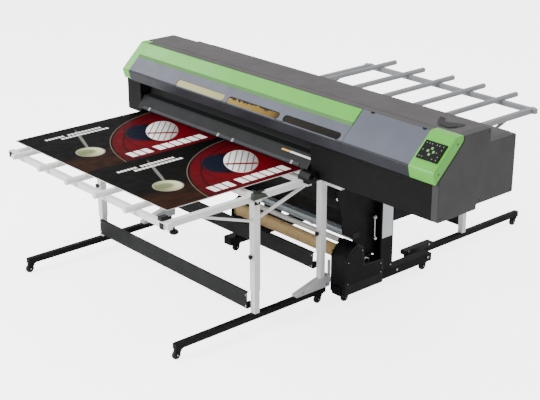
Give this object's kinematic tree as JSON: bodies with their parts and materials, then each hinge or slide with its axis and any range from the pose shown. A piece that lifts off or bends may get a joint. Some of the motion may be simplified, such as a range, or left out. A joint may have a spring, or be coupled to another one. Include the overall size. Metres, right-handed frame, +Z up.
{
  "type": "flatbed printer",
  "caption": "Wide flatbed UV inkjet printer on a castered stand, with a roll-up table of round rods in front and behind and a printed board on the front one.",
  "frame": {"origin": "on the floor under the middle of the whole object", "axes": "+X to the right along the printer seen from its front, +Y the way a board is fed, +Z up"},
  "size_m": [3.05, 3.69, 1.4058],
  "materials": {
    "black_steel": "black powder coat, fine orange peel",
    "black_plastic": "black moulded plastic, fine grain",
    "charcoal": "charcoal painted cover, satin",
    "grey": "blue-grey painted panel, satin",
    "green": "leaf-green lacquered cover, satin gloss",
    "aluminium": "clear anodised",
    "steel": "ground bright steel",
    "white": "white powder coat on aluminium tube",
    "black_table": "black powder coat",
    "amber": "tinted clear window",
    "key": "pale green rubberised key",
    "cardboard": "plain wound cardboard",
    "board": "printed foam board, semi-gloss print",
    "rubber": "black caster tread"
  },
  "bodies": {
    "printer": {"chassis": "black_steel", "platen": "aluminium", "left_side_cover": "charcoal", "right_side_cover": "charcoal", "top_cover": "charcoal", "rear_cover": "charcoal", "front_guard": "black_steel", "lower_front_panel": "black_plastic", "right_front_panel": "grey", "control_housing": "green", "key_bezel": "black_plastic", "guide_rail": "aluminium", "capping_station": "black_plastic", "left_leg": "black_steel", "right_leg": "black_steel", "cross_bar": "aluminium", "takeup_drive": "black_plastic", "lower_apron": "black_steel", "electronics_box": "black_steel"},
    "cover": {"front_cover": "green", "cover_window": "amber"},
    "carriage": {"carriage": "black_plastic", "uv_lamp": "aluminium"},
    "feed_roller": {"feed_roller": "steel"},
    "load_lever": {"load_lever": "steel"},
    "takeup_core": {"takeup_core": "cardboard"},
    "tension_tube": {"tension_tube": "aluminium"},
    "board": {"printed_board": "board"},
    "front_table": {"front_base": "black_table"},
    "front_deck": {"front_deck": "white"},
    "rear_table": {"rear_base": "black_table"},
    "rear_deck": {"rear_deck": "white"},
    "key_up": {"key_up": "key"},
    "key_down": {"key_down": "key"},
    "key_left": {"key_left": "key"},
    "key_right": {"key_right": "key"},
    "front_table_caster_fork_1": {"front_table_caster_fork_1": "black_steel"},
    "front_table_caster_wheel_1": {"front_table_caster_wheel_1": "rubber"},
    "front_table_caster_fork_2": {"front_table_caster_fork_2": "black_steel"},
    "front_table_caster_wheel_2": {"front_table_caster_wheel_2": "rubber"},
    "front_table_caster_fork_3": {"front_table_caster_fork_3": "black_steel"},
    "front_table_caster_wheel_3": {"front_table_caster_wheel_3": "rubber"},
    "front_table_caster_fork_4": {"front_table_caster_fork_4": "black_steel"},
    "front_table_caster_wheel_4": {"front_table_caster_wheel_4": "rubber"},
    "rear_table_caster_fork_1": {"rear_table_caster_fork_1": "black_steel"},
    "rear_table_caster_wheel_1": {"rear_table_caster_wheel_1": "rubber"},
    "rear_table_caster_fork_2": {"rear_table_caster_fork_2": "black_steel"},
    "rear_table_caster_wheel_2": {"rear_table_caster_wheel_2": "rubber"},
    "rear_table_caster_fork_3": {"rear_table_caster_fork_3": "black_steel"},
    "rear_table_caster_wheel_3": {"rear_table_caster_wheel_3": "rubber"},
    "rear_table_caster_fork_4": {"rear_table_caster_fork_4": "black_steel"},
    "rear_table_caster_wheel_4": {"rear_table_caster_wheel_4": "rubber"},
    "printer_caster_fork_1": {"printer_caster_fork_1": "black_steel"},
    "printer_caster_wheel_1": {"printer_caster_wheel_1": "rubber"},
    "printer_caster_fork_2": {"printer_caster_fork_2": "black_steel"},
    "printer_caster_wheel_2": {"printer_caster_wheel_2": "rubber"},
    "printer_caster_fork_3": {"printer_caster_fork_3": "black_steel"},
    "printer_caster_wheel_3": {"printer_caster_wheel_3": "rubber"},
    "printer_caster_fork_4": {"printer_caster_fork_4": "black_steel"},
    "printer_caster_wheel_4": {"printer_caster_wheel_4": "rubber"}
  },
  "joints": [
    {"name": "cover_hinge", "type": "hinge", "parent": "printer", "child": "cover", "pos_m": [0, -0.467, 1.4], "axis": [-1, 0, 0], "range_deg": [0, 70]},
    {"name": "carriage_slide", "type": "slide", "parent": "printer", "child": "carriage", "axis": [1, 0, 0], "range_m": [-2.3, 0]},
    {"name": "board_feed", "type": "slide", "parent": "printer", "child": "board", "axis": [0, 1, 0], "range_m": [0, 1.15]},
    {"name": "feed_roller_spin", "type": "hinge", "parent": "printer", "child": "feed_roller", "pos_m": [0, -0.33, 0.9202], "axis": [1, 0, 0], "continuous": true},
    {"name": "load_lever_turn", "type": "hinge", "parent": "printer", "child": "load_lever", "pos_m": [0.572, -0.118, 0.385], "axis": [1, 0, 0], "range_deg": [0, 50]},
    {"name": "takeup_spin", "type": "hinge", "parent": "printer", "child": "takeup_core", "pos_m": [0, -0.4, 0.35], "axis": [1, 0, 0], "continuous": true},
    {"name": "tension_tube_spin", "type": "hinge", "parent": "printer", "child": "tension_tube", "pos_m": [0, -0.352, 0.407], "axis": [1, 0, 0], "continuous": true},
    {"name": "front_dock", "type": "slide", "parent": "printer", "child": "front_table", "axis": [0, 1, 0], "range_m": [-0.35, 0]},
    {"name": "front_lift", "type": "slide", "parent": "front_table", "child": "front_deck", "axis": [0, 0, 1], "range_m": [-0.06, 0]},
    {"name": "rear_dock", "type": "slide", "parent": "printer", "child": "rear_table", "axis": [0, 1, 0], "range_m": [0, 0.35]},
    {"name": "rear_lift", "type": "slide", "parent": "rear_table", "child": "rear_deck", "axis": [0, 0, 1], "range_m": [-0.06, 0]},
    {"name": "key_up_press", "type": "slide", "parent": "printer", "child": "key_up", "axis": [0, 0.6913, -0.7225], "range_m": [0, 0.0015], "stiffness_N_per_m": 400},
    {"name": "key_down_press", "type": "slide", "parent": "printer", "child": "key_down", "axis": [0, 0.6913, -0.7225], "range_m": [0, 0.0015], "stiffness_N_per_m": 400},
    {"name": "key_left_press", "type": "slide", "parent": "printer", "child": "key_left", "axis": [0, 0.6913, -0.7225], "range_m": [0, 0.0015], "stiffness_N_per_m": 400},
    {"name": "key_right_press", "type": "slide", "parent": "printer", "child": "key_right", "axis": [0, 0.6913, -0.7225], "range_m": [0, 0.0015], "stiffness_N_per_m": 400},
    {"name": "front_table_caster_1_swivel", "type": "hinge", "parent": "front_table", "child": "front_table_caster_fork_1", "pos_m": [-1.224, -1.69, 0.06], "axis": [0, 0, 1], "continuous": true},
    {"name": "front_table_caster_1_roll", "type": "hinge", "parent": "front_table_caster_fork_1", "child": "front_table_caster_wheel_1", "pos_m": [-1.224, -1.71, 0.03], "axis": [1, 0, 0], "continuous": true},
    {"name": "front_table_caster_2_swivel", "type": "hinge", "parent": "front_table", "child": "front_table_caster_fork_2", "pos_m": [-1.224, -0.515, 0.06], "axis": [0, 0, 1], "continuous": true},
    {"name": "front_table_caster_2_roll", "type": "hinge", "parent": "front_table_caster_fork_2", "child": "front_table_caster_wheel_2", "pos_m": [-1.224, -0.535, 0.03], "axis": [1, 0, 0], "continuous": true},
    {"name": "front_table_caster_3_swivel", "type": "hinge", "parent": "front_table", "child": "front_table_caster_fork_3", "pos_m": [0.464, -1.69, 0.06], "axis": [0, 0, 1], "continuous": true},
    {"name": "front_table_caster_3_roll", "type": "hinge", "parent": "front_table_caster_fork_3", "child": "front_table_caster_wheel_3", "pos_m": [0.464, -1.71, 0.03], "axis": [1, 0, 0], "continuous": true},
    {"name": "front_table_caster_4_swivel", "type": "hinge", "parent": "front_table", "child": "front_table_caster_fork_4", "pos_m": [0.464, -0.515, 0.06], "axis": [0, 0, 1], "continuous": true},
    {"name": "front_table_caster_4_roll", "type": "hinge", "parent": "front_table_caster_fork_4", "child": "front_table_caster_wheel_4", "pos_m": [0.464, -0.535, 0.03], "axis": [1, 0, 0], "continuous": true},
    {"name": "rear_table_caster_1_swivel", "type": "hinge", "parent": "rear_table", "child": "rear_table_caster_fork_1", "pos_m": [-1.224, 0.37, 0.06], "axis": [0, 0, 1], "continuous": true},
    {"name": "rear_table_caster_1_roll", "type": "hinge", "parent": "rear_table_caster_fork_1", "child": "rear_table_caster_wheel_1", "pos_m": [-1.224, 0.35, 0.03], "axis": [1, 0, 0], "continuous": true},
    {"name": "rear_table_caster_2_swivel", "type": "hinge", "parent": "rear_table", "child": "rear_table_caster_fork_2", "pos_m": [-1.224, 1.545, 0.06], "axis": [0, 0, 1], "continuous": true},
    {"name": "rear_table_caster_2_roll", "type": "hinge", "parent": "rear_table_caster_fork_2", "child": "rear_table_caster_wheel_2", "pos_m": [-1.224, 1.525, 0.03], "axis": [1, 0, 0], "continuous": true},
    {"name": "rear_table_caster_3_swivel", "type": "hinge", "parent": "rear_table", "child": "rear_table_caster_fork_3", "pos_m": [0.464, 0.37, 0.06], "axis": [0, 0, 1], "continuous": true},
    {"name": "rear_table_caster_3_roll", "type": "hinge", "parent": "rear_table_caster_fork_3", "child": "rear_table_caster_wheel_3", "pos_m": [0.464, 0.35, 0.03], "axis": [1, 0, 0], "continuous": true},
    {"name": "rear_table_caster_4_swivel", "type": "hinge", "parent": "rear_table", "child": "rear_table_caster_fork_4", "pos_m": [0.464, 1.545, 0.06], "axis": [0, 0, 1], "continuous": true},
    {"name": "rear_table_caster_4_roll", "type": "hinge", "parent": "rear_table_caster_fork_4", "child": "rear_table_caster_wheel_4", "pos_m": [0.464, 1.525, 0.03], "axis": [1, 0, 0], "continuous": true},
    {"name": "printer_caster_1_swivel", "type": "hinge", "parent": "printer", "child": "printer_caster_fork_1", "pos_m": [-0.562, -0.36, 0.06], "axis": [0, 0, 1], "continuous": true},
    {"name": "printer_caster_1_roll", "type": "hinge", "parent": "printer_caster_fork_1", "child": "printer_caster_wheel_1", "pos_m": [-0.562, -0.38, 0.03], "axis": [1, 0, 0], "continuous": true},
    {"name": "printer_caster_2_swivel", "type": "hinge", "parent": "printer", "child": "printer_caster_fork_2", "pos_m": [-0.562, 0.41, 0.06], "axis": [0, 0, 1], "continuous": true},
    {"name": "printer_caster_2_roll", "type": "hinge", "parent": "printer_caster_fork_2", "child": "printer_caster_wheel_2", "pos_m": [-0.562, 0.39, 0.03], "axis": [1, 0, 0], "continuous": true},
    {"name": "printer_caster_3_swivel", "type": "hinge", "parent": "printer", "child": "printer_caster_fork_3", "pos_m": [0.562, -0.36, 0.06], "axis": [0, 0, 1], "continuous": true},
    {"name": "printer_caster_3_roll", "type": "hinge", "parent": "printer_caster_fork_3", "child": "printer_caster_wheel_3", "pos_m": [0.562, -0.38, 0.03], "axis": [1, 0, 0], "continuous": true},
    {"name": "printer_caster_4_swivel", "type": "hinge", "parent": "printer", "child": "printer_caster_fork_4", "pos_m": [0.562, 0.41, 0.06], "axis": [0, 0, 1], "continuous": true},
    {"name": "printer_caster_4_roll", "type": "hinge", "parent": "printer_caster_fork_4", "child": "printer_caster_wheel_4", "pos_m": [0.562, 0.39, 0.03], "axis": [1, 0, 0], "continuous": true}
  ],
  "couplings": [
    {"joint": "feed_roller_spin", "follows": "board_feed", "rad_per_m": -55.556}
  ]
}
